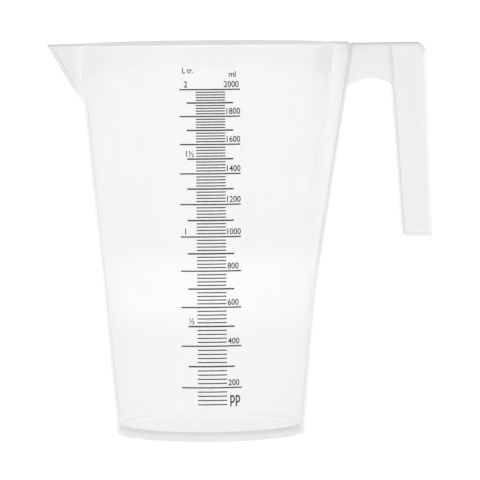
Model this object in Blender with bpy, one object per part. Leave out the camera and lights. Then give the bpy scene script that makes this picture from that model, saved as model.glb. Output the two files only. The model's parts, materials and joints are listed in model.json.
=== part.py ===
"""A stackable two-litre measuring jug in translucent polypropylene, at its real size in metres.

The jug stands on the XY plane with +Z up. Its spout points along -X, its open-ended handle is on
the +X side, and the printed scale faces -Y. The origin is on the plane of symmetry, midway between
the tip of the spout and the far edge of the grip.

The mouldings are the cup and the handle. Each graduation line of the scale is a thin strip of ink
that follows the cup's taper, at the height that the cup's own inside reaches with that much in it.
"""

import math

import bmesh
import bpy
from mathutils import Matrix, Vector

# The cup: a tapered wall on a foot ring, with the floor raised inside the ring.
HEIGHT = 0.2125
FOOT_RADIUS = 0.0514
RIM_RADIUS = 0.0709
WALL = 0.0020
FOOT_RING_WIDTH = 0.0024
FOOT_RECESS = 0.0026
FLOOR_THICKNESS = 0.0024

# The spout: a V in plan whose ridge runs down and in until it almost meets the wall.
SPOUT_REACH = 0.0876
SPOUT_DEPTH = 0.0310
SPOUT_PROUD_AT_FOOT = 0.0012
SPOUT_HALF_ANGLE = math.radians(45.5)
SPOUT_ROOT = 0.0480
SPOUT_RIDGE_ROUNDING = 0.0018
SPOUT_HOLLOW_ROUNDING = 0.0008

# The pad: a flat-faced, hollow wedge in the wall that carries the handle.
PAD_PROUD = 0.0082
PAD_HALF_WIDTH = 0.0200
PAD_TOE_HALF_WIDTH = 0.0140
PAD_FLUSH_HEIGHT = 0.0920
PAD_TOE_HEIGHT = 0.0460

# The handle: a bridge from the pad, and a grip that hangs from it and is open on its far side.
HANDLE_REACH = 0.1212
HANDLE_HALF_WIDTH = 0.0150
GRIP_END_HALF_WIDTH = 0.0122
GRIP_END_HEIGHT = 0.1070
GRIP_LEAN = 0.0029
GRIP_DEPTH = 0.0199
GRIP_END_DEPTH = 0.0158
GRIP_TOP_ROUNDING = 0.0055
GRIP_END_ROUNDING = 0.0022
BRIDGE_DEPTH_AT_PAD = 0.0259
BRIDGE_DEPTH_AT_GRIP = 0.0232
BRIDGE_ARCH_RISE = 0.0047
HANDLE_PLATE = 0.0020
HANDLE_CHEEK = 0.0018
HANDLE_WEB = 0.0018
BRIDGE_WEB_STEP = 0.0004
HANDLE_GAP = 0.0003

# The scale: ink strips, each centred on the cup's front.
MAJOR_LINE = (0.0324, 0.00070)
MIDDLE_LINE = (0.0247, 0.00080)
INK_THICKNESS = 0.00015
INK_GAP = 0.0001
FIRST_GRADUATION_ML = 200
LAST_GRADUATION_ML = 2000
MAJOR_STEP_ML = 200
MIDDLE_STEP_ML = 100

# Fineness of the round shapes, and how far a cutter runs past what it cuts.
SIDES = 72
ARC_STEPS = 6
STRIP_PIECES = 10
CAPACITY_STEPS = 400
HOLLOW_STEPS = 60
HOLLOW_HALF_TURN = math.radians(45)
OVERRUN = 0.010

CUBIC_METRES_PER_ML = 1e-6
FLOOR_HEIGHT = FOOT_RECESS + FLOOR_THICKNESS
CUP_CENTRE_X = (SPOUT_REACH - HANDLE_REACH) / 2


def blend(start, end, share):
    """The value that lies this share of the way from start to end."""
    return start + (end - start) * share


# Outlines of the cup, measured from its own axis.


def wall_radius(height):
    """Outer radius of the tapered wall at a height above the foot."""
    return blend(FOOT_RADIUS, RIM_RADIUS, height / HEIGHT)


def pad_slope():
    """How far the pad's face comes in for each metre down."""
    rim_face = RIM_RADIUS + PAD_PROUD
    return (rim_face - wall_radius(PAD_FLUSH_HEIGHT)) / (HEIGHT - PAD_FLUSH_HEIGHT)


def pad_face(height):
    """How far out the pad's flat face is at a height."""
    return RIM_RADIUS + PAD_PROUD - pad_slope() * (HEIGHT - height)


def pad_half_width(height):
    """Half the width of the pad's flat face at a height."""
    share = (height - PAD_TOE_HEIGHT) / (HEIGHT - PAD_TOE_HEIGHT)
    return blend(PAD_TOE_HALF_WIDTH, PAD_HALF_WIDTH, share)


def spout_ridge(height):
    """How far out the spout's ridge is at a height."""
    foot_height = HEIGHT - SPOUT_DEPTH
    foot_reach = wall_radius(foot_height) + SPOUT_PROUD_AT_FOOT
    return blend(foot_reach, SPOUT_REACH, (height - foot_height) / SPOUT_DEPTH)


# Capacity, which places the graduation lines.


def area_beyond(radius, half_width_at):
    """Area, past a circle on one side of it, of a hollow whose half width is given at each reach."""
    nearest = radius * math.cos(HOLLOW_HALF_TURN)
    step = (max(SPOUT_REACH, RIM_RADIUS + PAD_PROUD) - nearest) / HOLLOW_STEPS
    area = 0.0
    for index in range(HOLLOW_STEPS):
        out = nearest + (index + 0.5) * step
        inside_circle = math.sqrt(max(0.0, radius**2 - out**2))
        area += 2 * max(0.0, half_width_at(out) - inside_circle) * step
    return area


def inside_area(height):
    """Area of the cup's inside at a height, with the hollows of the pad and the spout."""
    radius = wall_radius(height) - WALL

    def pad_width(out):
        inner_face = pad_face(height) - WALL * math.hypot(1.0, pad_slope())
        return pad_half_width(height) - WALL if out < inner_face else 0.0

    def spout_width(out):
        tip = spout_ridge(height) - WALL / math.sin(SPOUT_HALF_ANGLE)
        return max(0.0, tip - out) * math.tan(SPOUT_HALF_ANGLE)

    area = math.pi * radius**2
    if height > PAD_TOE_HEIGHT:
        area += area_beyond(radius, pad_width)
    if height > HEIGHT - SPOUT_DEPTH + WALL:
        area += area_beyond(radius, spout_width)
    return area


def fill_heights(volumes):
    """The height that each volume reaches in the cup, for volumes in rising order."""
    step = (HEIGHT - FLOOR_HEIGHT) / CAPACITY_STEPS
    heights = []
    held = 0.0
    for index in range(CAPACITY_STEPS):
        bottom = FLOOR_HEIGHT + index * step
        slice_area = inside_area(bottom + step / 2)
        while len(heights) < len(volumes) and held + slice_area * step >= volumes[len(heights)]:
            heights.append(bottom + (volumes[len(heights)] - held) / slice_area)
        held += slice_area * step
    return heights


# Objects, materials and collections.


def clear_scene():
    """Removes what the scene already holds."""
    for obj in list(bpy.data.objects):
        bpy.data.objects.remove(obj, do_unlink=True)


def new_collection(name):
    """A collection under the scene's own."""
    collection = bpy.data.collections.new(name)
    bpy.context.scene.collection.children.link(collection)
    return collection


def new_material(name, colour, roughness):
    """A plain surface of one colour."""
    material = bpy.data.materials.new(name)
    material.use_nodes = True
    surface = material.node_tree.nodes["Principled BSDF"]
    surface.inputs["Base Color"].default_value = (*colour, 1.0)
    surface.inputs["Roughness"].default_value = roughness
    surface.inputs["Metallic"].default_value = 0.0
    return material


def add_object(name, data, collection, centre, material=None):
    """An object for a mesh or a curve, placed from the cup's centre."""
    obj = bpy.data.objects.new(name, data)
    collection.objects.link(obj)
    obj.parent = centre
    if material:
        data.materials.append(material)
    return obj


def add_solid(name, shape, collection, centre, material=None):
    """An object for a finished bmesh, which this frees."""
    mesh = bpy.data.meshes.new(name)
    bmesh.ops.recalc_face_normals(shape, faces=shape.faces)
    shape.to_mesh(mesh)
    shape.free()
    return add_object(name, mesh, collection, centre, material)


def add_helper(name, shape, collection, centre):
    """A block that only joins or cuts another piece."""
    helper = add_solid(name, shape, collection, centre)
    helper.hide_render = True
    helper.display_type = "WIRE"
    return helper


def add_boolean(obj, other, operation):
    """A live Boolean on obj."""
    modifier = obj.modifiers.new(operation.title() + "_" + other.name, "BOOLEAN")
    modifier.operation = operation
    modifier.solver = "EXACT"
    modifier.object = other


# Shapes.


def frustum(low, high, low_radius, high_radius):
    """A turned block with straight sides between two heights."""
    shape = bmesh.new()
    bmesh.ops.create_cone(
        shape,
        cap_ends=True,
        segments=SIDES,
        radius1=low_radius,
        radius2=high_radius,
        depth=high - low,
        matrix=Matrix.Translation((0.0, 0.0, (low + high) / 2)),
    )
    return shape


def spout_block(inset, top, rounding):
    """A three-sided block that narrows downwards, inset from the spout's outside, ridge rounded."""
    low = HEIGHT - SPOUT_DEPTH + inset
    shape = bmesh.new()
    bmesh.ops.create_cone(shape, cap_ends=True, segments=3, radius1=1.0, radius2=1.0, depth=1.0)
    for corner in shape.verts:
        height = top if corner.co.z > 0 else low
        tip = spout_ridge(height) - inset / math.sin(SPOUT_HALF_ANGLE)
        if corner.co.y > 0:
            corner.co = Vector((-tip, 0.0, height))
        else:
            half_width = (tip - SPOUT_ROOT) * math.tan(SPOUT_HALF_ANGLE)
            corner.co = Vector((-SPOUT_ROOT, math.copysign(half_width, corner.co.x), height))
    bmesh.ops.bevel(
        shape,
        geom=[edge for edge in shape.edges if all(end.co.y == 0.0 for end in edge.verts)],
        offset=rounding,
        segments=3,
        profile=0.5,
        affect="EDGES",
        material=-1,
    )
    return shape


def pad_block(inset, top):
    """A four-cornered block with a leaning face, inset all round from the pad's outside."""
    shape = bmesh.new()
    bmesh.ops.create_cube(shape, size=1.0)
    for corner in shape.verts:
        height = top if corner.co.z > 0 else PAD_TOE_HEIGHT
        out = 0.0
        if corner.co.x > 0:
            out = pad_face(height) - inset * math.hypot(1.0, pad_slope())
        corner.co = Vector((out, math.copysign(pad_half_width(height) - inset, corner.co.y), height))
    return shape


def arc(centre, radius, start, end):
    """Points on an arc, from one angle to another, in degrees."""
    angles = [math.radians(blend(start, end, index / ARC_STEPS)) for index in range(ARC_STEPS + 1)]
    return [
        (centre[0] + radius * math.cos(angle), centre[1] + radius * math.sin(angle))
        for angle in angles
    ]


def arch(start, end, rise):
    """Points on the arc from start to end that rises this far above the line between them."""
    chord = math.dist(start, end)
    radius = (chord**2 / 4 + rise**2) / (2 * rise)
    along = ((end[0] - start[0]) / chord, (end[1] - start[1]) / chord)
    below = (along[1] * (radius - rise), -along[0] * (radius - rise))
    centre = ((start[0] + end[0]) / 2 + below[0], (start[1] + end[1]) / 2 + below[1])
    angles = [math.degrees(math.atan2(p[1] - centre[1], p[0] - centre[0])) for p in (start, end)]
    return arc(centre, radius, *angles)


# The handle's side outline, as (distance out, height) measured from the cup's axis.


def grip_back(height):
    """How far out the far side of the grip is at a height."""
    return HANDLE_REACH - GRIP_LEAN * (height - GRIP_END_HEIGHT) / (HEIGHT - GRIP_END_HEIGHT)


def grip_web(height):
    """How far out the grip's closed side, the one towards the cup, is at a height."""
    share = (height - GRIP_END_HEIGHT) / (HEIGHT - GRIP_END_HEIGHT)
    return grip_back(height) - blend(GRIP_END_DEPTH, GRIP_DEPTH, share)


def handle_half_width(height):
    """Half the handle's width at a height. It narrows downwards."""
    share = (height - GRIP_END_HEIGHT) / (HEIGHT - GRIP_END_HEIGHT)
    return blend(GRIP_END_HALF_WIDTH, HANDLE_HALF_WIDTH, share)


def bridge_start(height):
    """How far out the bridge starts at a height, clear of the pad's face."""
    return pad_face(height) + HANDLE_GAP * math.hypot(1.0, pad_slope())


def handle_outline():
    """The handle seen from the side, clockwise from the top of its joint with the pad."""
    corner_height = HEIGHT - GRIP_TOP_ROUNDING
    corner_out = grip_back(corner_height) - GRIP_TOP_ROUNDING
    end_turn = GRIP_END_HEIGHT + GRIP_END_ROUNDING
    end_centre = (grip_web(end_turn) + GRIP_END_ROUNDING, end_turn)
    arch_pad_height = HEIGHT - BRIDGE_DEPTH_AT_PAD
    arch_grip_height = HEIGHT - BRIDGE_DEPTH_AT_GRIP
    under_arch = arch(
        (bridge_start(arch_pad_height), arch_pad_height),
        (grip_web(arch_grip_height), arch_grip_height),
        BRIDGE_ARCH_RISE,
    )
    return [
        (bridge_start(HEIGHT), HEIGHT),
        *arc((corner_out, corner_height), GRIP_TOP_ROUNDING, 90, 0),
        (HANDLE_REACH, GRIP_END_HEIGHT),
        *arc(end_centre, GRIP_END_ROUNDING, 270, 180),
        *reversed(under_arch),
    ]


def bridge_hollow_outline():
    """The space under the bridge, which is open below and runs to the pad."""
    ceiling = HEIGHT - HANDLE_PLATE
    below = HEIGHT - BRIDGE_DEPTH_AT_PAD - OVERRUN
    return [
        (pad_face(ceiling) - OVERRUN, ceiling),
        (grip_web(ceiling) - BRIDGE_WEB_STEP, ceiling),
        (grip_web(below) - BRIDGE_WEB_STEP, below),
        (pad_face(below) - OVERRUN, below),
    ]


def grip_channel_outline():
    """The channel in the grip, which is open on the side away from the cup."""
    ceiling = HEIGHT - HANDLE_PLATE
    floor = GRIP_END_HEIGHT + HANDLE_PLATE
    corner_height = HEIGHT - GRIP_TOP_ROUNDING
    corner_out = grip_back(corner_height) - GRIP_TOP_ROUNDING
    outside = HANDLE_REACH + OVERRUN
    return [
        (grip_web(ceiling) + HANDLE_WEB, ceiling),
        *arc((corner_out, corner_height), GRIP_TOP_ROUNDING - HANDLE_PLATE, 90, 0),
        (outside, corner_height),
        (outside, floor),
        (grip_web(floor) + HANDLE_WEB, floor),
    ]


def handle_slab(name, outline, inset):
    """A mesh that fills a side outline across the handle's width, inset from its two cheeks."""
    curve = bpy.data.curves.new(name, "CURVE")
    curve.dimensions = "2D"
    curve.fill_mode = "BOTH"
    curve.extrude = HANDLE_HALF_WIDTH
    spline = curve.splines.new("POLY")
    spline.points.add(len(outline) - 1)
    for point, (out, height) in zip(spline.points, outline):
        point.co = (out, height, 0.0, 1.0)
    spline.use_cyclic_u = True
    flat = bpy.data.objects.new(name, curve)
    flat.matrix_world = Matrix.Rotation(math.pi / 2, 4, "X")
    bpy.context.scene.collection.objects.link(flat)
    bpy.context.view_layer.update()
    graph = bpy.context.evaluated_depsgraph_get()
    mesh = bpy.data.meshes.new_from_object(flat.evaluated_get(graph))
    shape = bmesh.new()
    shape.from_mesh(mesh)
    shape.transform(flat.matrix_world)
    bmesh.ops.remove_doubles(shape, verts=shape.verts, dist=1e-6)
    bpy.data.objects.remove(flat, do_unlink=True)
    bpy.data.curves.remove(curve)
    bpy.data.meshes.remove(mesh)
    for corner in shape.verts:
        corner.co.y = math.copysign(handle_half_width(corner.co.z) - inset, corner.co.y)
    return shape


# The pieces.


def make_cup(parts, cutters, centre, plastic):
    """The cup with its spout, pad and foot ring, one moulding with one wall thickness."""
    cup = add_solid("cup", frustum(0.0, HEIGHT, FOOT_RADIUS, RIM_RADIUS), parts, centre, plastic)
    past_rim = HEIGHT + OVERRUN
    joined = [
        ("spout_outside", spout_block(0.0, HEIGHT, SPOUT_RIDGE_ROUNDING)),
        ("pad_outside", pad_block(0.0, HEIGHT)),
    ]
    recess_radius = FOOT_RADIUS - FOOT_RING_WIDTH
    cut = [
        (
            "bowl_inside",
            frustum(
                FLOOR_HEIGHT,
                past_rim,
                wall_radius(FLOOR_HEIGHT) - WALL,
                wall_radius(past_rim) - WALL,
            ),
        ),
        ("spout_inside", spout_block(WALL, past_rim, SPOUT_HOLLOW_ROUNDING)),
        ("pad_inside", pad_block(WALL, past_rim)),
        ("foot_recess", frustum(-OVERRUN, FOOT_RECESS, recess_radius, recess_radius)),
    ]
    for name, shape in joined:
        add_boolean(cup, add_helper(name, shape, cutters, centre), "UNION")
    for name, shape in cut:
        add_boolean(cup, add_helper(name, shape, cutters, centre), "DIFFERENCE")


def make_handle(parts, cutters, centre, plastic):
    """The handle: top plate, two cheeks, the grip's web and its end plate."""
    slab = handle_slab("handle", handle_outline(), 0.0)
    handle = add_solid("handle", slab, parts, centre, plastic)
    hollows = [
        ("bridge_hollow", bridge_hollow_outline()),
        ("grip_channel", grip_channel_outline()),
    ]
    for name, outline in hollows:
        helper = add_helper(name, handle_slab(name, outline, HANDLE_CHEEK), cutters, centre)
        add_boolean(handle, helper, "DIFFERENCE")


def ink_strip(middle_height, width, line_height):
    """A thin strip on the front of the wall, bent round it and leaning with its taper."""
    shape = bmesh.new()
    bmesh.ops.create_cube(shape, size=1.0)
    lengthways = [edge for edge in shape.edges if edge.verts[0].co.x != edge.verts[1].co.x]
    bmesh.ops.subdivide_edges(
        shape, edges=lengthways, cuts=STRIP_PIECES - 1, use_grid_fill=True
    )
    for point in shape.verts:
        height = middle_height + point.co.z * line_height
        radius = wall_radius(height) + INK_GAP
        if point.co.y < 0:
            radius += INK_THICKNESS
        angle = point.co.x * width / wall_radius(middle_height)
        point.co = Vector((radius * math.sin(angle), -radius * math.cos(angle), height))
    return shape


def make_scale(parts, centre, ink):
    """The graduation lines at each hundred millilitres, longer at each two hundred."""
    graduations = range(FIRST_GRADUATION_ML, LAST_GRADUATION_ML + 1, MIDDLE_STEP_ML)
    heights = fill_heights([graduation * CUBIC_METRES_PER_ML for graduation in graduations])
    for graduation, height in zip(graduations, heights):
        width, line_height = MIDDLE_LINE if graduation % MAJOR_STEP_ML else MAJOR_LINE
        strip = ink_strip(height, width, line_height)
        add_solid(f"mark_{graduation:04d}_ml", strip, parts, centre, ink)


def main():
    """Builds the jug."""
    clear_scene()
    parts = new_collection("measuring_jug")
    cutters = new_collection("measuring_jug_cutters")
    centre = bpy.data.objects.new("cup_centre", None)
    centre.location = (CUP_CENTRE_X, 0.0, 0.0)
    parts.objects.link(centre)
    plastic = new_material("translucent_polypropylene", (0.90, 0.90, 0.90), 0.35)
    ink = new_material("black_ink", (0.02, 0.02, 0.02), 0.55)
    make_cup(parts, cutters, centre, plastic)
    make_handle(parts, cutters, centre, plastic)
    make_scale(parts, centre, ink)


main()
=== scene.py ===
"""The looks of a stackable two-litre measuring jug in translucent polypropylene.

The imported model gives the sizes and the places, and stays where it is. One finely made moulding
stands for its cup and its handle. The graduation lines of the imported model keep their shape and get
a printed finish, and the fine lines, numerals and unit marks of the scale are added around them.

Everything is in metres, +Z up. The spout points along -X, the handle is on the +X side, and the
scale faces -Y.
"""

import json
import logging
import math
from dataclasses import dataclass
from enum import Enum
from typing import Any, Iterable, Optional, Union

import bmesh
import bpy
from mathutils import Matrix, Vector

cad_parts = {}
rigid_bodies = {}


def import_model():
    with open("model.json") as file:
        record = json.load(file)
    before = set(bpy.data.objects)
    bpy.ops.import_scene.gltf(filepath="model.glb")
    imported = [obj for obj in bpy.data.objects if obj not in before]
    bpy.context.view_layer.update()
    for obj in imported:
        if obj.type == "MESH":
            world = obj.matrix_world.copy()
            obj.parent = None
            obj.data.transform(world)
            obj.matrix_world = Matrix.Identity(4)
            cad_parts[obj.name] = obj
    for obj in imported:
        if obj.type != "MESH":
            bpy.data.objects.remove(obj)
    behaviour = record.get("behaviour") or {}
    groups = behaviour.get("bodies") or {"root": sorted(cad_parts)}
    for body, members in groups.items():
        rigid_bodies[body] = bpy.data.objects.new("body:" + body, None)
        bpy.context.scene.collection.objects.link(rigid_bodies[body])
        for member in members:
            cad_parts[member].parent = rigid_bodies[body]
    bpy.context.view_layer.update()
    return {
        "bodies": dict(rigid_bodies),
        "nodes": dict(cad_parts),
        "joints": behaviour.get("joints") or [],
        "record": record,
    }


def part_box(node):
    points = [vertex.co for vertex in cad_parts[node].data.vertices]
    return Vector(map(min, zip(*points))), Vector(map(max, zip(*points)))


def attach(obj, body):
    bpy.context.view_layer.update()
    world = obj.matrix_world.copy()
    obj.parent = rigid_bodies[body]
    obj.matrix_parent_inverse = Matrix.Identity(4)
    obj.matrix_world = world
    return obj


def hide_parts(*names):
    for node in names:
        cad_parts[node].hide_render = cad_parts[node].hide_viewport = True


LOG = logging.getLogger("measuring_jug")

BODY = "root"
MERGE_DISTANCE = 1e-6
TURNED_MERGE_DISTANCE = 1e-5
SHARP_ANGLE = math.radians(35)
WHITE = (1.0, 1.0, 1.0, 1.0)
BLACK = (0.0, 0.0, 0.0, 1.0)
Point = tuple[float, float]


class Slot(Enum):
    """The names of the record's material slots, which the pieces here don't take their finish from.
    """

    PLASTIC = "polypropylene"
    INK = "black_ink"


def blend(start: float, end: float, share: float) -> float:
    """Give the value that lies this share of the way from start to end."""
    return start + (end - start) * share


def smooth_max(first: float, second: float, reach: float) -> float:
    """Give the larger of two values, rounded where they are within reach of each other.

    Args:
        first: One value.
        second: The other value.
        reach: How near the values are where the rounding starts.

    Returns:
        The larger value, raised by up to a quarter of reach where the two meet.
    """
    overlap = max(reach - abs(first - second), 0.0) / reach
    return max(first, second) + overlap * overlap * reach / 4


def smooth_min(first: float, second: float, reach: float) -> float:
    """Give the smaller of two values, rounded where they are within reach of each other."""
    return -smooth_max(-first, -second, reach)


# Shader trees.


class Value:
    """A number that a socket gives, which Python's arithmetic turns into Math nodes."""

    def __init__(self, tree: "Tree", socket: bpy.types.NodeSocket) -> None:
        """Wrap an output socket of a tree."""
        self.tree = tree
        self.socket = socket

    def _math(self, operation: str, first: Any, second: Any) -> "Value":
        """Add a Math node on two operands."""
        node = self.tree.node("ShaderNodeMath", {"operation": operation}, {0: first, 1: second})
        return Value(self.tree, node.outputs[0])

    def __add__(self, other: Any) -> "Value":
        """Add."""
        return self._math("ADD", self, other)

    __radd__ = __add__

    def __sub__(self, other: Any) -> "Value":
        """Subtract."""
        return self._math("SUBTRACT", self, other)

    def __rsub__(self, other: Any) -> "Value":
        """Subtract this from a number."""
        return self._math("SUBTRACT", other, self)

    def __mul__(self, other: Any) -> "Value":
        """Multiply."""
        return self._math("MULTIPLY", self, other)

    __rmul__ = __mul__

    def __pow__(self, other: Any) -> "Value":
        """Raise to a power."""
        return self._math("POWER", self, other)

    def __abs__(self) -> "Value":
        """Drop the sign."""
        node = self.tree.node("ShaderNodeMath", {"operation": "ABSOLUTE"}, {0: self})
        return Value(self.tree, node.outputs[0])


class Tree:
    """The node tree of a material or of the world, cleared, with one way to add a node."""

    def __init__(self, owner: Union[bpy.types.Material, bpy.types.World]) -> None:
        """Take over the owner's node tree."""
        owner.use_nodes = True
        self.nodes = owner.node_tree.nodes
        self.links = owner.node_tree.links
        self.nodes.clear()

    def node(
        self,
        kind: str,
        settings: Optional[dict[str, Any]] = None,
        inputs: Optional[dict[Union[str, int], Any]] = None,
    ) -> bpy.types.Node:
        """Add a node.

        Args:
            kind: The node's type.
            settings: Its properties, which are set first. A ramp's stops are a list of
                (position, colour) under "stops".
            inputs: A number, a colour, a Value or an output socket for each named or numbered
                input.

        Returns:
            The new node.
        """
        made = self.nodes.new(kind)
        for name, setting in (settings or {}).items():
            if name == "stops":
                elements = made.color_ramp.elements
                while len(elements) < len(setting):
                    elements.new(1.0)
                for element, (position, colour) in zip(elements, setting):
                    element.position = position
                    element.color = colour
            else:
                setattr(made, name, setting)
        for name, given in (inputs or {}).items():
            if isinstance(given, Value):
                self.links.new(given.socket, made.inputs[name])
            elif isinstance(given, bpy.types.NodeSocket):
                self.links.new(given, made.inputs[name])
            else:
                made.inputs[name].default_value = given
        return made

    def noise(self, place: bpy.types.NodeSocket, scale: float, detail: float) -> Value:
        """Add a noise over a place and give its value."""
        inputs = {"Vector": place, "Scale": scale, "Detail": detail}
        return Value(self, self.node("ShaderNodeTexNoise", None, inputs).outputs["Fac"])

    def step(self, value: Value, low: float, high: float) -> Value:
        """Give 0 where a value is below low and 1 above high, with a smooth rise between them."""
        made = self.node(
            "ShaderNodeMapRange",
            {"interpolation_type": "SMOOTHSTEP"},
            {"Value": value, "From Min": low, "From Max": high},
        )
        return Value(self, made.outputs["Result"])

    def mixed(
        self, share: Any, first: bpy.types.NodeSocket, second: bpy.types.NodeSocket
    ) -> bpy.types.NodeSocket:
        """Mix two shaders, where a share of 1 is all of the second."""
        return self.node("ShaderNodeMixShader", None, {0: share, 1: first, 2: second}).outputs[0]

    def bump(
        self, depth: float, height: Value, normal: Optional[bpy.types.NodeSocket] = None
    ) -> bpy.types.NodeSocket:
        """Give the normal of a relief of this depth, on top of another normal if one is given."""
        inputs = {"Strength": 1.0, "Distance": depth, "Height": height}
        if normal is not None:
            inputs["Normal"] = normal
        return self.node("ShaderNodeBump", None, inputs).outputs[0]

    def stretched(
        self,
        scale: tuple[float, float, float],
        shift: tuple[float, float, float] = (0.0, 0.0, 0.0),
    ) -> bpy.types.NodeSocket:
        """Give the Object coordinates, stretched along the axes and then shifted."""
        place = self.node("ShaderNodeTexCoord").outputs["Object"]
        inputs = {"Vector": place, "Scale": scale, "Location": shift}
        return self.node("ShaderNodeMapping", None, inputs).outputs[0]


# Finishes.


@dataclass(frozen=True)
class Polypropylene:
    """Clarified polypropylene: see-through, a little milky, and darker where it is seen deep.

    The spout and the handle take more of the grey milky share than the cup's wall, which darkens
    them: partly a milkier plastic, partly painted shade. A painted dark line runs along the spout's
    ridge.
    """

    centre_x: float
    milk: tuple[float, float, float] = (0.69, 0.695, 0.70)
    milkiness: float = 0.066
    milkiness_spread: float = 0.035
    streak_spread: float = 0.02
    # Partly a milkier plastic, partly painted shade on the spout and the handle.
    milkier_outside: float = 0.045
    outside_reach: tuple[float, float] = (0.0695, 0.0745)
    # Painted shade: a dark line along the spout's ridge.
    milkier_ridge: float = 0.22
    ridge_reach: tuple[float, float] = (0.0012, 0.0024)
    bending_share: float = 0.12
    glancing_bending: float = 0.5
    refraction: float = 1.49
    roughness: float = 0.10
    roughness_spread: float = 0.08
    shine: float = 0.04
    shine_growth: float = 6.0
    shine_roughness: float = 0.05
    absorption: float = 9.0
    cloud_scale: float = 28.0
    streak_stretch: tuple[float, float, float] = (1.0, 1.0, 0.08)
    streak_scale: float = 160.0
    grain_scale: float = 1500.0
    grain_depth: float = 0.000010
    wave_scale: float = 55.0
    wave_depth: float = 0.00004

    def material(self) -> bpy.types.Material:
        """Build the material."""
        made = bpy.data.materials.new("clarified_polypropylene")
        tree = Tree(made)
        even = tree.stretched((1.0, 1.0, 1.0))
        drawn = tree.stretched(self.streak_stretch)
        cloud = tree.noise(even, self.cloud_scale, detail=3.0) - 0.5
        streak = tree.noise(drawn, self.streak_scale, detail=2.0) - 0.5
        share = cloud * self.milkiness_spread + streak * self.streak_spread + self.milkiness
        # The extra share on the spout and the handle is partly painted shade, and along the ridge it
        # is painted shade.
        share = share + self._outside(tree, even)
        surface = tree.mixed(share, self._clear(tree, even, cloud), self._milky(tree))
        depth = tree.node(
            "ShaderNodeVolumeAbsorption",
            None,
            {"Color": BLACK, "Density": self.absorption},
        )
        tree.node(
            "ShaderNodeOutputMaterial", None, {"Surface": surface, "Volume": depth.outputs[0]}
        )
        return made

    def _outside(self, tree: Tree, place: bpy.types.NodeSocket) -> Value:
        """Give how much more of the grey milky share the spout and the handle take than the cup's
        wall.

        Args:
            tree: The material's nodes.
            place: Where on the jug.

        Returns:
            A share for the spout and the handle, partly a milkier plastic and partly painted shade,
            and one more along the spout's thick ridge, which is painted shade.
        """
        axes = tree.node("ShaderNodeSeparateXYZ", None, {0: place})
        along = Value(tree, axes.outputs["X"]) - self.centre_x
        aside = abs(Value(tree, axes.outputs["Y"]))
        # A stripe along the spout's ridge, where shade is painted.
        at_ridge = 1 - tree.step(aside, *self.ridge_reach)
        at_spout = tree.step(along * -1, *self.outside_reach)
        outside = tree.step(abs(along), *self.outside_reach)
        return outside * self.milkier_outside + at_ridge * at_spout * self.milkier_ridge

    def _milky(self, tree: Tree) -> bpy.types.NodeSocket:
        """Give the share of the plastic that scatters light, forwards and backwards."""
        front = tree.node("ShaderNodeBsdfDiffuse", None, {"Color": (*self.milk, 1.0)})
        through = tree.node("ShaderNodeBsdfTranslucent", None, {"Color": (*self.milk, 1.0)})
        return tree.mixed(0.5, front.outputs[0], through.outputs[0])

    def _clear(
        self, tree: Tree, place: bpy.types.NodeSocket, cloud: Value
    ) -> bpy.types.NodeSocket:
        """Give the see-through share, with its shine, which grows at a glancing angle."""
        normal = self._relief(tree, place)
        straight = tree.node("ShaderNodeBsdfRefraction", None, {"Roughness": 0.0, "IOR": 1.0})
        bending = tree.node(
            "ShaderNodeBsdfPrincipled",
            None,
            {
                "Base Color": WHITE,
                "Roughness": self.roughness + cloud * self.roughness_spread,
                "IOR": self.refraction,
                "Transmission Weight": 1.0,
                "Normal": normal,
            },
        )
        gloss = tree.node(
            "ShaderNodeBsdfGlossy",
            None,
            {"Color": WHITE, "Roughness": self.shine_roughness, "Normal": normal},
        )
        angle = tree.node("ShaderNodeLayerWeight", None, {"Blend": 0.5})
        glancing = Value(tree, angle.outputs["Facing"]) ** self.shine_growth
        outside = 1 - Value(tree, tree.node("ShaderNodeNewGeometry").outputs["Backfacing"])
        bent = (glancing * self.glancing_bending + self.bending_share) * outside
        through = tree.mixed(bent, straight.outputs[0], bending.outputs[0])
        shine = (glancing * (1 - self.shine) + self.shine) * outside
        return tree.mixed(shine, through, gloss.outputs[0])

    def _relief(self, tree: Tree, place: bpy.types.NodeSocket) -> bpy.types.NodeSocket:
        """Give the normal of the mould's fine grain over its slow waves."""
        waves = tree.bump(self.wave_depth, tree.noise(place, self.wave_scale, detail=1.0))
        grain = tree.noise(place, self.grain_scale, detail=2.0)
        return tree.bump(self.grain_depth, grain, waves)


@dataclass(frozen=True)
class ScreenInk:
    """Screen-printed black ink: nearly even, slightly thin in places."""

    full: tuple[float, float, float] = (0.012, 0.012, 0.013)
    thin: tuple[float, float, float] = (0.045, 0.045, 0.048)
    roughness: float = 0.46
    roughness_spread: float = 0.2
    mottle_scale: float = 900.0
    mottle_reach: tuple[float, float] = (0.35, 0.75)
    grain_scale: float = 5000.0
    grain_depth: float = 0.000008

    def material(self) -> bpy.types.Material:
        """Build the material."""
        made = bpy.data.materials.new("screen_ink")
        tree = Tree(made)
        place = tree.stretched((1.0, 1.0, 1.0))
        mottle = tree.noise(place, self.mottle_scale, detail=3.0)
        grain = tree.noise(place, self.grain_scale, detail=1.0)
        shades = [(*self.full, 1.0), (*self.thin, 1.0)]
        stops = list(zip(self.mottle_reach, shades))
        colour = tree.node("ShaderNodeValToRGB", {"stops": stops}, {"Fac": mottle})
        surface = tree.node(
            "ShaderNodeBsdfPrincipled",
            None,
            {
                "Base Color": colour.outputs["Color"],
                "Roughness": self.roughness + (mottle - 0.5) * self.roughness_spread,
                "Normal": tree.bump(self.grain_depth, grain),
            },
        )
        tree.node("ShaderNodeOutputMaterial", None, {"Surface": surface.outputs[0]})
        return made


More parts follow.
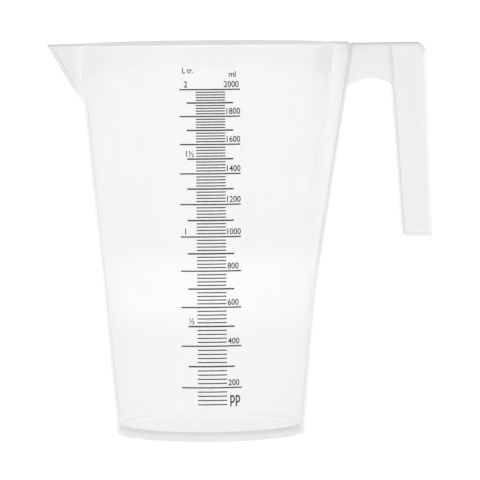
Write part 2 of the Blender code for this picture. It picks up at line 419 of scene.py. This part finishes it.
@dataclass(frozen=True)
class StudioFloor:
    """A pale floor that glows past white by itself. A painted shadow makes it dimmer under the jug,
    and a painted pool of light makes it brightest in a wide ring round it.
    """

    centre_x: float
    foot_radius: float
    colour: tuple[float, float, float] = (0.11, 0.11, 0.11)
    roughness: float = 0.9
    most: float = 2.0
    # The glow under the jug: a painted shadow.
    under: float = 0.80
    near: float = 1.00
    # The glow in the wide ring round the jug: a painted pool of light.
    ring: float = 1.08
    beyond: float = 1.00
    under_blur: float = 0.004
    ring_reach: tuple[float, float] = (0.80, 1.25)
    blur: float = 0.20
    ramp_length: float = 2.0

    def material(self) -> bpy.types.Material:
        """Build the material."""
        made = bpy.data.materials.new("pale_floor")
        tree = Tree(made)
        scale = 1.0 / self.ramp_length
        place = tree.stretched((scale,) * 3, (-self.centre_x * scale, 0.0, 0.0))
        out = tree.node("ShaderNodeVectorMath", {"operation": "LENGTH"}, {0: place})
        start, end = self.ring_reach
        # The floor's glow, with a painted shadow under the foot and a painted pool of light in the
        # ring.
        stops = [
            (self.foot_radius - self.under_blur, self.under),
            (self.foot_radius, self.near),
            (start - self.blur, self.near),
            (start, self.ring),
            (end, self.ring),
            (end + self.blur, self.beyond),
        ]
        shades = [(reach * scale, (*[glow / self.most] * 3, 1.0)) for reach, glow in stops]
        glow = tree.node("ShaderNodeValToRGB", {"stops": shades}, {"Fac": out.outputs["Value"]})
        surface = tree.node(
            "ShaderNodeBsdfPrincipled",
            None,
            {
                "Base Color": (*self.colour, 1.0),
                "Roughness": self.roughness,
                "Specular IOR Level": 0.0,
                "Emission Color": glow.outputs["Color"],
                "Emission Strength": self.most,
            },
        )
        tree.node("ShaderNodeOutputMaterial", None, {"Surface": surface.outputs[0]})
        return made


@dataclass(frozen=True)
class GreyCard:
    """An even grey card that paints a dark band of shade at the jug's far rim."""

    grey: float

    def material(self) -> bpy.types.Material:
        """Build the material, which glows evenly, so that no shadow falls on it, and paints shade
        where it is seen.
        """
        made = bpy.data.materials.new("rim_shade_card")
        tree = Tree(made)
        grey = (self.grey, self.grey, self.grey, 1.0)
        surface = tree.node("ShaderNodeEmission", None, {"Color": grey, "Strength": 1.0})
        tree.node("ShaderNodeOutputMaterial", None, {"Surface": surface.outputs[0]})
        return made


# Pieces.


def add_piece(
    name: str, shape: bmesh.types.BMesh, material: bpy.types.Material
) -> bpy.types.Object:
    """Make an object of a finished bmesh, at the origin, and free the bmesh."""
    mesh = bpy.data.meshes.new(name)
    shape.to_mesh(mesh)
    shape.free()
    mesh.materials.append(material)
    piece = bpy.data.objects.new(name, mesh)
    bpy.context.scene.collection.objects.link(piece)
    return piece


def settle(piece: bpy.types.Object) -> None:
    """Let a finished piece ride on the jug's one body, and report it."""
    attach(piece, BODY)
    LOG.info("%s: %d faces", piece.name, len(piece.data.polygons))


@dataclass(frozen=True)
class JugFrame:
    """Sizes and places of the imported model. Distances out are from the cup's own axis."""

    centre_x: float
    height: float
    foot_radius: float
    rim_radius: float
    spout_reach: float
    pad_reach: float
    handle_reach: float
    handle_half_width: float
    grip_end_height: float
    mark_heights: dict[int, float]

    @classmethod
    def read(cls, nodes: dict[str, bpy.types.Object]) -> "JugFrame":
        """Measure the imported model.

        Args:
            nodes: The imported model's objects by name.

        Returns:
            The sizes and places.
        """
        cup_low, cup_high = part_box("cup")
        handle_low, handle_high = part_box("handle")
        marks = {int(name.split("_")[1]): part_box(name) for name in nodes if "mark" in name}
        first = next(iter(marks.values()))
        centre_x = (first[0].x + first[1].x) / 2
        foot = [point.co.y for point in nodes["cup"].data.vertices if point.co.z < MERGE_DISTANCE]
        return cls(
            centre_x=centre_x,
            height=cup_high.z,
            foot_radius=max(foot),
            rim_radius=cup_high.y,
            spout_reach=centre_x - cup_low.x,
            pad_reach=cup_high.x - centre_x,
            handle_reach=handle_high.x - centre_x,
            handle_half_width=handle_high.y,
            grip_end_height=handle_low.z,
            mark_heights={ml: (low.z + high.z) / 2 for ml, (low, high) in sorted(marks.items())},
        )

    def wall_radius(self, height: float) -> float:
        """Give the outer radius of the tapered wall at a height."""
        return blend(self.foot_radius, self.rim_radius, height / self.height)


@dataclass(frozen=True)
class Cup:
    """The cup: a turned body whose wall is formed outwards into the spout and the handle's pad."""

    frame: JugFrame
    wall: float = 0.0020
    foot_ring_width: float = 0.0024
    foot_recess: float = 0.0026
    floor_thickness: float = 0.0024
    edge_rounding: float = 0.0006
    lip_rounding: float = 0.0008
    floor_fillet: float = 0.0016
    flat_margin: float = 0.0010
    spout_depth: float = 0.0310
    spout_proud_at_foot: float = 0.0012
    spout_half_angle: float = math.radians(45.5)
    spout_ridge_turn: float = math.radians(0.9)
    spout_ridge_turn_inside: float = math.radians(1.2)
    spout_fillet: float = 0.0012
    spout_wall_share: float = 0.45
    spout_fillet_least: float = 0.05
    spout_fillet_from: float = 0.84
    spout_fillet_rise: float = 0.12
    forming_half_turn: float = math.radians(60)
    least_pad_turn: float = math.radians(1)
    wall_tolerance: float = 1.05
    pad_half_width: float = 0.0200
    pad_toe_half_width: float = 0.0140
    pad_flush_height: float = 0.0920
    pad_toe_height: float = 0.0460
    pad_fillet: float = 0.0016
    lower_rows: int = 34
    upper_rows: int = 46
    upper_share: float = 0.80
    corner_segments: int = 3
    half_turn: tuple[tuple[float, int], ...] = ((12, 6), (6, 34), (139, 70), (20, 44), (3, 14))

    @property
    def floor_height(self) -> float:
        """How high the inside of the floor is."""
        return self.foot_recess + self.floor_thickness

    def pad_slope(self) -> float:
        """How far the pad's face comes in for each metre down."""
        flush_radius = self.frame.wall_radius(self.pad_flush_height)
        return (self.frame.pad_reach - flush_radius) / (self.frame.height - self.pad_flush_height)

    def pad_face(self, height: float) -> float:
        """How far out the pad's flat face is at a height."""
        return self.frame.pad_reach - self.pad_slope() * (self.frame.height - height)

    def _pad_radius(self, turn: float, height: float, inset: float) -> float:
        """Radius of the pad's block at a turn from +X, or 0 where it has none."""
        if abs(turn) > self.forming_half_turn or height < self.pad_toe_height:
            return 0.0
        share = (height - self.pad_toe_height) / (self.frame.height - self.pad_toe_height)
        half_width = blend(self.pad_toe_half_width, self.pad_half_width, share) - inset
        face = self.pad_face(height) - inset * math.hypot(1.0, self.pad_slope())
        side = half_width / max(abs(math.sin(turn)), math.sin(self.least_pad_turn))
        return smooth_min(face / math.cos(turn), side, self.pad_fillet)

    def _spout_radius(self, turn: float, height: float, inset: float) -> float:
        """Radius of the spout's V at a turn from -X, or 0 where it has none."""
        if abs(turn) > self.forming_half_turn:
            return 0.0
        foot_height = self.frame.height - self.spout_depth
        foot_reach = self.frame.wall_radius(foot_height) + self.spout_proud_at_foot
        share = (height - foot_height) / self.spout_depth
        ridge = blend(foot_reach, self.frame.spout_reach, share)
        tip = ridge - inset * self.spout_wall_share / math.sin(self.spout_half_angle)
        ridge_turn = blend(self.spout_ridge_turn, self.spout_ridge_turn_inside, inset / self.wall)
        rounded = math.hypot(turn, ridge_turn)
        at_ridge = math.sin(self.spout_half_angle + self.spout_ridge_turn)
        return tip * at_ridge / math.sin(self.spout_half_angle + rounded)

    def formed_radius(self, angle: float, height: float, inset: float) -> float:
        """Radius of the finished wall.

        Args:
            angle: The turn from +X.
            height: The height above the foot.
            inset: How deep in the wall the surface is, from 0 outside to the wall's thickness.

        Returns:
            The distance from the cup's axis.
        """
        plain = self.frame.wall_radius(height) - inset
        from_pad = math.remainder(angle, math.tau)
        from_spout = math.remainder(angle - math.pi, math.tau)
        padded = smooth_max(plain, self._pad_radius(from_pad, height, inset), self.pad_fillet)
        spout = self._spout_radius(from_spout, height, inset)
        risen = (height / self.frame.height - self.spout_fillet_from) / self.spout_fillet_rise
        fillet = self.spout_fillet * min(1.0, max(self.spout_fillet_least, risen))
        return smooth_max(padded, spout, fillet)

    def _profile(self, shape: bmesh.types.BMesh) -> list[Any]:
        """Draw the turned body's half section, from under the floor, up the wall, to the floor.

        Each corner has its distance out, its height, its rounding, and the number of rows up to
        the next corner.

        Args:
            shape: The empty bmesh that the section goes in.

        Returns:
            The section's points and edges.
        """
        frame = self.frame
        ring_inside = frame.foot_radius - self.foot_ring_width
        split = frame.height * self.upper_share
        inner_foot = frame.wall_radius(self.floor_height) - self.wall
        corners = [
            (0.0, self.foot_recess, 0.0, 1),
            (ring_inside - self.flat_margin, self.foot_recess, 0.0, 1),
            (ring_inside, self.foot_recess, self.edge_rounding, 1),
            (ring_inside, 0.0, self.edge_rounding, 1),
            (frame.foot_radius, 0.0, self.edge_rounding, self.lower_rows),
            (frame.wall_radius(split), split, 0.0, self.upper_rows),
            (frame.rim_radius, frame.height, self.lip_rounding, 1),
            (frame.rim_radius - self.wall, frame.height, self.lip_rounding, self.upper_rows),
            (frame.wall_radius(split) - self.wall, split, 0.0, self.lower_rows),
            (inner_foot, self.floor_height, self.floor_fillet, 1),
            (inner_foot - self.floor_fillet - self.flat_margin, self.floor_height, 0.0, 1),
            (0.0, self.floor_height, 0.0, 1),
        ]
        points = [shape.verts.new((out, 0.0, height)) for out, height, _, _ in corners]
        edges = [shape.edges.new(pair) for pair in zip(points, points[1:])]
        for edge, (_, _, _, rows) in zip(edges, corners):
            if rows > 1:
                bmesh.ops.subdivide_edges(shape, edges=[edge], cuts=rows - 1)
        for radius in (self.edge_rounding, self.lip_rounding, self.floor_fillet):
            sharp = {(out, height) for out, height, rounding, _ in corners if rounding == radius}
            bmesh.ops.bevel(
                shape,
                geom=[
                    point
                    for point in shape.verts
                    if any(math.dist((point.co.x, point.co.z), at) < MERGE_DISTANCE for at in sharp)
                ],
                offset=radius,
                offset_type="OFFSET",
                segments=self.corner_segments,
                profile=0.5,
                affect="VERTICES",
                material=-1,
            )
        return [*shape.verts, *shape.edges]

    def build(self) -> bmesh.types.BMesh:
        """Turn the section round the axis, then form the spout and the pad.

        Each stretch of half_turn has its angle in degrees and its steps, from the pad's middle to
        the spout's ridge. The steps are closer where the wall bends sharply.

        Returns:
            The cup as one closed surface, in its place.
        """
        shape = bmesh.new()
        ring = self._profile(shape)
        for degrees, steps in self.half_turn + self.half_turn[::-1]:
            ring = bmesh.ops.spin(
                shape,
                geom=ring,
                cent=(0.0, 0.0, 0.0),
                axis=(0.0, 0.0, 1.0),
                angle=math.radians(degrees),
                steps=steps,
            )["geom_last"]
        bmesh.ops.remove_doubles(shape, verts=shape.verts, dist=TURNED_MERGE_DISTANCE)
        self._form(shape)
        bmesh.ops.recalc_face_normals(shape, faces=shape.faces)
        bmesh.ops.translate(shape, verts=shape.verts, vec=(self.frame.centre_x, 0.0, 0.0))
        return shape

    def _form(self, shape: bmesh.types.BMesh) -> None:
        """Push the wall outwards where the spout and the pad are."""
        for point in shape.verts:
            out = math.hypot(point.co.x, point.co.y)
            inset = self.frame.wall_radius(point.co.z) - out
            if point.co.z < self.pad_toe_height or inset > self.wall * self.wall_tolerance:
                continue
            inset = min(max(inset, 0.0), self.wall)
            angle = math.atan2(point.co.y, point.co.x)
            scale = self.formed_radius(angle, point.co.z, inset) / out
            point.co.x *= scale
            point.co.y *= scale


@dataclass(frozen=True)
class Handle:
    """The handle: a bridge that is open below, and a grip that is open on its far side."""

    frame: JugFrame
    cup: Cup
    grip_end_half_width: float = 0.0122
    grip_lean: float = 0.0029
    grip_depth: float = 0.0199
    grip_end_depth: float = 0.0158
    grip_top_rounding: float = 0.0055
    grip_end_rounding: float = 0.0022
    bridge_depth_at_pad: float = 0.0259
    bridge_depth_at_grip: float = 0.0232
    bridge_arch_rise: float = 0.0047
    plate: float = 0.0020
    cheek: float = 0.0018
    web: float = 0.0018
    web_step: float = 0.0004
    edge_rounding: float = 0.0006
    overrun: float = 0.010
    edge_segments: int = 3
    arc_steps: int = 10

    def _up_share(self, height: float) -> float:
        """Share of the way from the grip's end up to the top."""
        low = self.frame.grip_end_height
        return (height - low) / (self.frame.height - low)

    def grip_back(self, height: float) -> float:
        """How far out the grip's far side is at a height."""
        return self.frame.handle_reach - self.grip_lean * self._up_share(height)

    def grip_web(self, height: float) -> float:
        """How far out the grip's side towards the cup is at a height."""
        depth = blend(self.grip_end_depth, self.grip_depth, self._up_share(height))
        return self.grip_back(height) - depth

    def half_width(self, height: float) -> float:
        """Half the handle's width at a height."""
        return blend(self.grip_end_half_width, self.frame.handle_half_width, self._up_share(height))

    def _arc(self, centre: Point, radius: float, start: float, end: float) -> list[Point]:
        """Give the points on an arc between two angles in degrees."""
        angles = [
            math.radians(blend(start, end, step / self.arc_steps))
            for step in range(self.arc_steps + 1)
        ]
        return [
            (centre[0] + radius * math.cos(angle), centre[1] + radius * math.sin(angle))
            for angle in angles
        ]

    def _arch(self, start: Point, end: Point, rise: float) -> list[Point]:
        """Give the points on the arc that rises this far above the line from start to end."""
        chord = math.dist(start, end)
        radius = (chord**2 / 4 + rise**2) / (2 * rise)
        along = ((end[0] - start[0]) / chord, (end[1] - start[1]) / chord)
        below = (along[1] * (radius - rise), -along[0] * (radius - rise))
        centre = ((start[0] + end[0]) / 2 + below[0], (start[1] + end[1]) / 2 + below[1])
        turn = [math.degrees(math.atan2(p[1] - centre[1], p[0] - centre[0])) for p in (start, end)]
        return self._arc(centre, radius, *turn)

    def _outline(self) -> list[Point]:
        """Give the handle's side outline, whose joint lies in the middle of the pad's wall."""
        top = self.frame.height
        joint = self.cup.wall / 2
        corner_height = top - self.grip_top_rounding
        corner_out = self.grip_back(corner_height) - self.grip_top_rounding
        turn_height = self.frame.grip_end_height + self.grip_end_rounding
        turn_centre = (self.grip_web(turn_height) + self.grip_end_rounding, turn_height)
        at_pad = top - self.bridge_depth_at_pad
        at_grip = top - self.bridge_depth_at_grip
        under = self._arch(
            (self.cup.pad_face(at_pad) - joint, at_pad),
            (self.grip_web(at_grip), at_grip),
            self.bridge_arch_rise,
        )
        return [
            (self.cup.pad_face(top) - joint, top),
            *self._arc((corner_out, corner_height), self.grip_top_rounding, 90, 0),
            (self.frame.handle_reach, self.frame.grip_end_height),
            *self._arc(turn_centre, self.grip_end_rounding, 270, 180),
            *reversed(under),
        ]

    def _bridge_hollow(self) -> list[Point]:
        """Give the outline of the space under the bridge, from the pad's face to the grip's web."""
        ceiling = self.frame.height - self.plate
        below = self.frame.height - self.bridge_depth_at_pad - self.overrun
        return [
            (self.cup.pad_face(ceiling), ceiling),
            (self.grip_web(ceiling) - self.web_step, ceiling),
            (self.grip_web(below) - self.web_step, below),
            (self.cup.pad_face(below), below),
        ]

    def _grip_channel(self) -> list[Point]:
        """Give the outline of the channel in the grip, open on the side away from the cup."""
        ceiling = self.frame.height - self.plate
        floor = self.frame.grip_end_height + self.plate
        corner_height = self.frame.height - self.grip_top_rounding
        corner_out = self.grip_back(corner_height) - self.grip_top_rounding
        outside = self.frame.handle_reach + self.overrun
        inner_rounding = self.grip_top_rounding - self.plate
        return [
            (self.grip_web(ceiling) + self.web, ceiling),
            *self._arc((corner_out, corner_height), inner_rounding, 90, 0),
            (outside, corner_height),
            (outside, floor),
            (self.grip_web(floor) + self.web, floor),
        ]

    def _slab(self, outline: list[Point], inset: float, rounding: float) -> bmesh.types.BMesh:
        """Fill a side outline across the handle's width.

        Args:
            outline: The corners, as distance out and height.
            inset: How far the slab's sides are inside the handle's cheeks.
            rounding: The radius along the edges of its sides, or 0 for none.

        Returns:
            The slab, in its place.
        """
        shape = bmesh.new()
        corners = [shape.verts.new((out, 0.0, height)) for out, height in outline]
        side = shape.faces.new(corners)
        grown = bmesh.ops.extrude_face_region(shape, geom=[side])["geom"]
        far = [item for item in grown if isinstance(item, bmesh.types.BMVert)]
        for point in shape.verts:
            point.co.y = -(self.half_width(point.co.z) - inset)
        for point in far:
            point.co.y = self.half_width(point.co.z) - inset
        bmesh.ops.recalc_face_normals(shape, faces=shape.faces)
        if rounding:
            across = {edge for edge in shape.edges if edge.verts[0].co.y * edge.verts[1].co.y < 0}
            bmesh.ops.bevel(
                shape,
                geom=[edge for edge in shape.edges if edge not in across],
                offset=rounding,
                offset_type="OFFSET",
                segments=self.edge_segments,
                profile=0.5,
                affect="EDGES",
                clamp_overlap=True,
                material=-1,
            )
        bmesh.ops.translate(shape, verts=shape.verts, vec=(self.frame.centre_x, 0.0, 0.0))
        return shape

    def build(self) -> tuple[bmesh.types.BMesh, list[bmesh.types.BMesh]]:
        """Build the outside of the handle and the two spaces to cut from it."""
        outside = self._slab(self._outline(), 0.0, self.edge_rounding)
        hollows = [
            self._slab(outline, self.cheek, 0.0)
            for outline in (self._bridge_hollow(), self._grip_channel())
        ]
        return outside, hollows


class Moulding:
    """The cup and the handle as the one piece of plastic that leaves the mould."""

    def __init__(self, frame: JugFrame, material: bpy.types.Material) -> None:
        """Take the sizes and the plastic."""
        self.cup = Cup(frame)
        self.handle = Handle(frame, self.cup)
        self.material = material

    def build(self) -> bpy.types.Object:
        """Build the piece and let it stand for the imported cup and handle."""
        outside, hollows = self.handle.build()
        handle = add_piece("jug_handle", outside, self.material)
        for index, hollow in enumerate(hollows):
            self._join(handle, add_piece(f"hollow_{index}", hollow, self.material), "DIFFERENCE")
        piece = add_piece("jug_moulding", self.cup.build(), self.material)
        self._join(piece, handle, "UNION")
        self._smooth(piece)
        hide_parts("cup", "handle")
        settle(piece)
        return piece

    def _join(self, piece: bpy.types.Object, other: bpy.types.Object, operation: str) -> None:
        """Apply a Boolean with another object, which is then removed."""
        modifier = piece.modifiers.new(operation.title(), "BOOLEAN")
        modifier.operation = operation
        modifier.solver = "EXACT"
        modifier.object = other
        graph = bpy.context.evaluated_depsgraph_get()
        joined = bpy.data.meshes.new_from_object(piece.evaluated_get(graph))
        piece.modifiers.clear()
        before = piece.data
        piece.data = joined
        joined.name = piece.name
        bpy.data.meshes.remove(before)
        bpy.data.objects.remove(other, do_unlink=True)

    def _smooth(self, piece: bpy.types.Object) -> None:
        """Merge what the joins left double, and shade the round faces smooth."""
        shape = bmesh.new()
        shape.from_mesh(piece.data)
        bmesh.ops.remove_doubles(shape, verts=shape.verts, dist=MERGE_DISTANCE)
        shape.to_mesh(piece.data)
        shape.free()
        piece.data.shade_smooth()
        piece.data.set_sharp_from_angle(angle=SHARP_ANGLE)


# The printed scale.


@dataclass(frozen=True)
class Label:
    """A printed word or number beside a graduation line. Its place is that of its left end."""

    text: str
    place: float
    bottom: float
    height: float
    stretch: float


@dataclass(frozen=True)
class PrintedScale:
    """The print on the front of the cup. Places are across the front, from the cup's middle."""

    frame: JugFrame
    material: bpy.types.Material
    gap: float = 0.0001
    ink: float = 0.00012
    fine_step: int = 20
    fine_first: int = 120
    fine_width: float = 0.0156
    fine_height: float = 0.00060
    fine_shift: float = 0.0003
    fine_pieces: int = 5
    numeral_height: float = 0.0034
    numeral_lift: float = 0.0011
    numeral_left: float = 0.0088
    top_numeral_left: float = 0.0074
    numeral_stretch: float = 0.88
    numeral_step: int = 200
    boldness: float = 0.013
    curve_steps: int = 3
    litres: tuple[tuple[str, int, float], ...] = (
        ("2", 2000, -0.0138),
        ("1½", 1500, -0.0129),
        ("1", 1000, -0.0137),
        ("½", 500, -0.0119),
    )

    def wrap(self, shape: bmesh.types.BMesh) -> None:
        """Bend a flat print in the XY plane round the front of the wall, with its ink on top."""
        for point in shape.verts:
            across, up, thick = point.co
            radius = self.frame.wall_radius(up) + self.gap + thick
            turn = across / self.frame.wall_radius(up)
            point.co = (
                self.frame.centre_x + radius * math.sin(turn),
                -radius * math.cos(turn),
                up,
            )

    def mark_height(self, ml: float) -> float:
        """Height of a graduation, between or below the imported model's own.

        Args:
            ml: The graduation, in millilitres.

        Returns:
            Its height, read between the two nearest packed lines.
        """
        known = sorted(self.frame.mark_heights)
        above = next((index for index, mark in enumerate(known) if mark >= ml), 1)
        low, high = known[max(above, 1) - 1], known[max(above, 1)]
        heights = self.frame.mark_heights
        return blend(heights[low], heights[high], (ml - low) / (high - low))

    def fine_lines(self) -> bpy.types.Object:
        """Print the short lines at each twenty millilitres."""
        shape = bmesh.new()
        last = max(self.frame.mark_heights)
        for ml in range(self.fine_first, last, self.fine_step):
            if ml not in self.frame.mark_heights:
                self._strip(shape, self.mark_height(ml))
        self.wrap(shape)
        bmesh.ops.recalc_face_normals(shape, faces=shape.faces)
        return self._finish("fine_lines", shape)

    def _strip(self, shape: bmesh.types.BMesh, height: float) -> None:
        """Add one flat strip, in enough pieces to bend."""
        size = Matrix.Diagonal((self.fine_width, self.fine_height, self.ink, 1.0))
        place = Matrix.Translation((self.fine_shift, height, self.ink / 2))
        made = bmesh.ops.create_cube(shape, size=1.0, matrix=place @ size)["verts"]
        lengthways = {
            edge
            for point in made
            for edge in point.link_edges
            if abs(edge.verts[0].co.x - edge.verts[1].co.x) > self.fine_height
        }
        bmesh.ops.subdivide_edges(
            shape, edges=list(lengthways), cuts=self.fine_pieces - 1, use_grid_fill=True
        )

    def _lettering(self, name: str, labels: Iterable[Label]) -> bpy.types.Object:
        """Print labels as one piece."""
        shape = bmesh.new()
        for label in labels:
            flat = self._flat_text(label)
            shape.from_mesh(flat)
            bpy.data.meshes.remove(flat)
        bmesh.ops.remove_doubles(shape, verts=shape.verts, dist=MERGE_DISTANCE)
        self.wrap(shape)
        bmesh.ops.recalc_face_normals(shape, faces=shape.faces)
        return self._finish(name, shape)

    def _flat_text(self, label: Label) -> bpy.types.Mesh:
        """Set one label flat, at its size and place in the XY plane.

        Args:
            label: What it says, and where.

        Returns:
            A new mesh, with the ink's thickness from 0 up.
        """
        curve = bpy.data.curves.new("label", "FONT")
        curve.body = label.text
        curve.size = 1.0
        curve.extrude = 0.5
        curve.offset = self.boldness
        curve.resolution_u = self.curve_steps
        writer = bpy.data.objects.new("label", curve)
        bpy.context.scene.collection.objects.link(writer)
        bpy.context.view_layer.update()
        graph = bpy.context.evaluated_depsgraph_get()
        mesh = bpy.data.meshes.new_from_object(writer.evaluated_get(graph))
        bpy.data.objects.remove(writer, do_unlink=True)
        bpy.data.curves.remove(curve)
        low = Vector([min(point.co[axis] for point in mesh.vertices) for axis in range(3)])
        high = Vector([max(point.co[axis] for point in mesh.vertices) for axis in range(3)])
        size = label.height / (high.y - low.y)
        mesh.transform(
            Matrix.Translation((label.place, label.bottom, 0.0))
            @ Matrix.Diagonal((size * label.stretch, size, self.ink / (high.z - low.z), 1.0))
            @ Matrix.Translation(-low)
        )
        return mesh

    def _finish(self, name: str, shape: bmesh.types.BMesh) -> bpy.types.Object:
        """Make a piece of the print."""
        piece = add_piece(name, shape, self.material)
        settle(piece)
        return piece

    def _numeral(self, text: str, ml: int, place: float) -> Label:
        """Set a number on a long line."""
        bottom = self.frame.mark_heights[ml] + self.numeral_lift
        return Label(text, place, bottom, self.numeral_height, self.numeral_stretch)

    def millilitre_numerals(self) -> bpy.types.Object:
        """Print the numbers at the right ends of the long lines."""
        top = max(self.frame.mark_heights)
        numerals = [
            self._numeral(str(ml), ml, self.top_numeral_left if ml == top else self.numeral_left)
            for ml in self.frame.mark_heights
            if ml % self.numeral_step == 0
        ]
        return self._lettering("millilitre_numerals", numerals)

    def litre_numerals(self) -> bpy.types.Object:
        """Print the litres at the left ends of the lines, each with its millilitres and place."""
        numerals = [self._numeral(*litre) for litre in self.litres]
        return self._lettering("litre_numerals", numerals)

    def unit_marks(self) -> bpy.types.Object:
        """Print the units above the scale, and the plastic's letters below it."""
        top = max(self.frame.mark_heights.values())
        low = min(self.frame.mark_heights.values())
        labels = [
            Label("L tr.", place=-0.0146, bottom=top + 0.0086, height=0.0031, stretch=0.85),
            Label("ml", place=0.0102, bottom=top + 0.0066, height=0.0031, stretch=0.95),
            Label("pp", place=0.0098, bottom=low - 0.0104, height=0.0063, stretch=0.66),
        ]
        return self._lettering("unit_marks", labels)

    def dress_packed_lines(self, nodes: dict[str, bpy.types.Object]) -> None:
        """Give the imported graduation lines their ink."""
        for name, node in nodes.items():
            if "mark" in name:
                node.data.materials.clear()
                node.data.materials.append(self.material)
                LOG.info("%s: inked", name)

    def build(self, nodes: dict[str, bpy.types.Object]) -> None:
        """Print the whole scale."""
        self.dress_packed_lines(nodes)
        self.fine_lines()
        self.millilitre_numerals()
        self.litre_numerals()
        self.unit_marks()


# The studio.


@dataclass(frozen=True)
class Studio:
    """A pale floor, soft white light from all round, a card of painted shade, and the camera."""

    jug: JugFrame
    floor_radius: float = 20.0
    floor_segments: int = 96
    distance: float = 2.5
    azimuth: float = math.radians(-1.2)
    elevation: float = math.radians(3.85)
    tilt: float = math.radians(0.49)
    aim: tuple[float, float, float] = (0.0, 0.0, 0.105)
    lens: float = 343.4
    sensor: float = 36.0
    far: float = 60.0
    sides: float = 1.22
    sides_up_to: float = 0.20
    zenith: float = 0.25
    zenith_from: float = 0.60
    card_back: float = 0.25
    card_bottom: float = 0.2053
    card_height: float = 0.5
    card_half_width: float = 0.4
    # The grey of the card that paints shade at the far rim, seen through the plastic.
    card_grey: float = 0.70
    lamp_power: float = 3.0
    lamp_size: float = 1.2
    lamp_place: tuple[float, float, float] = (-1.1, -1.3, 1.6)

    def floor(self) -> None:
        """Lay the floor."""
        shape = bmesh.new()
        bmesh.ops.create_circle(
            shape, cap_ends=True, segments=self.floor_segments, radius=self.floor_radius
        )
        finish = StudioFloor(self.jug.centre_x, self.jug.foot_radius)
        floor = add_piece("studio_floor", shape, finish.material())

    def light(self) -> None:
        """Light the scene from all round, much less from overhead, with one soft lamp."""
        world = bpy.data.worlds.new("studio")
        bpy.context.scene.world = world
        tree = Tree(world)
        direction = tree.node("ShaderNodeTexCoord").outputs["Generated"]
        up = tree.node("ShaderNodeSeparateXYZ", None, {0: direction}).outputs["Z"]
        sides = [(0.0, self.sides), (self.sides_up_to, self.sides)]
        shades = [*sides, (self.zenith_from, self.zenith)]
        stops = [(rise, (shade, shade, shade, 1.0)) for rise, shade in shades]
        grey = tree.node("ShaderNodeValToRGB", {"stops": stops}, {"Fac": up})
        glow = tree.node(
            "ShaderNodeBackground", None, {"Color": grey.outputs["Color"], "Strength": 1.0}
        )
        tree.node("ShaderNodeOutputWorld", None, {"Surface": glow.outputs[0]})
        lamp = bpy.data.lights.new("soft_lamp", "AREA")
        lamp.energy = self.lamp_power
        lamp.size = self.lamp_size
        holder = bpy.data.objects.new("soft_lamp", lamp)
        bpy.context.scene.collection.objects.link(holder)
        holder.location = self.lamp_place
        away = Vector(self.aim) - Vector(self.lamp_place)
        holder.rotation_euler = away.to_track_quat("-Z", "Y").to_euler()

    def camera(self) -> None:
        """Set the camera in front of the jug, a little above its middle."""
        data = bpy.data.cameras.new("camera")
        data.lens = self.lens
        data.sensor_width = self.sensor
        data.clip_end = self.far
        camera = bpy.data.objects.new("camera", data)
        bpy.context.scene.collection.objects.link(camera)
        camera.matrix_world = (
            Matrix.Translation(self.aim)
            @ Matrix.Rotation(self.azimuth, 4, "Z")
            @ Matrix.Rotation(math.pi / 2 - self.elevation, 4, "X")
            @ Matrix.Rotation(-self.tilt, 4, "Z")
            @ Matrix.Translation((0.0, 0.0, self.distance))
        )
        bpy.context.scene.camera = camera

    def card(self) -> None:
        """Hang a grey card behind the jug, which only shows through the plastic, at the far rim, as
        painted shade.
        """
        shape = bmesh.new()
        turn = Matrix.Rotation(math.pi / 2, 4, "X")
        size = Matrix.Diagonal((self.card_half_width, 1.0, self.card_height / 2, 1.0))
        middle = self.card_bottom + self.card_height / 2
        place = Matrix.Translation((0.0, self.card_back, middle))
        bmesh.ops.create_grid(
            shape, x_segments=1, y_segments=1, size=1.0, matrix=place @ size @ turn
        )
        card = add_piece("rim_shade_card", shape, GreyCard(self.card_grey).material())
        # Hidden from all but rays through the plastic, so the card only paints shade there.
        for ray in ("camera", "diffuse", "glossy", "shadow", "volume_scatter"):
            setattr(card, f"visible_{ray}", False)

    def build(self) -> None:
        """Set up the studio."""
        self.camera()
        self.floor()
        self.card()
        self.light()
        bpy.context.scene.view_settings.view_transform = "Standard"


def main() -> None:
    """Build the jug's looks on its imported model."""
    logging.basicConfig(level=logging.INFO, format="%(name)s %(message)s")
    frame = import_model()
    jug = JugFrame.read(frame["nodes"])
    Studio(jug).build()
    Moulding(jug, Polypropylene(jug.centre_x).material()).build()
    PrintedScale(jug, ScreenInk().material()).build(frame["nodes"])


if __name__ == "__main__":
    main()
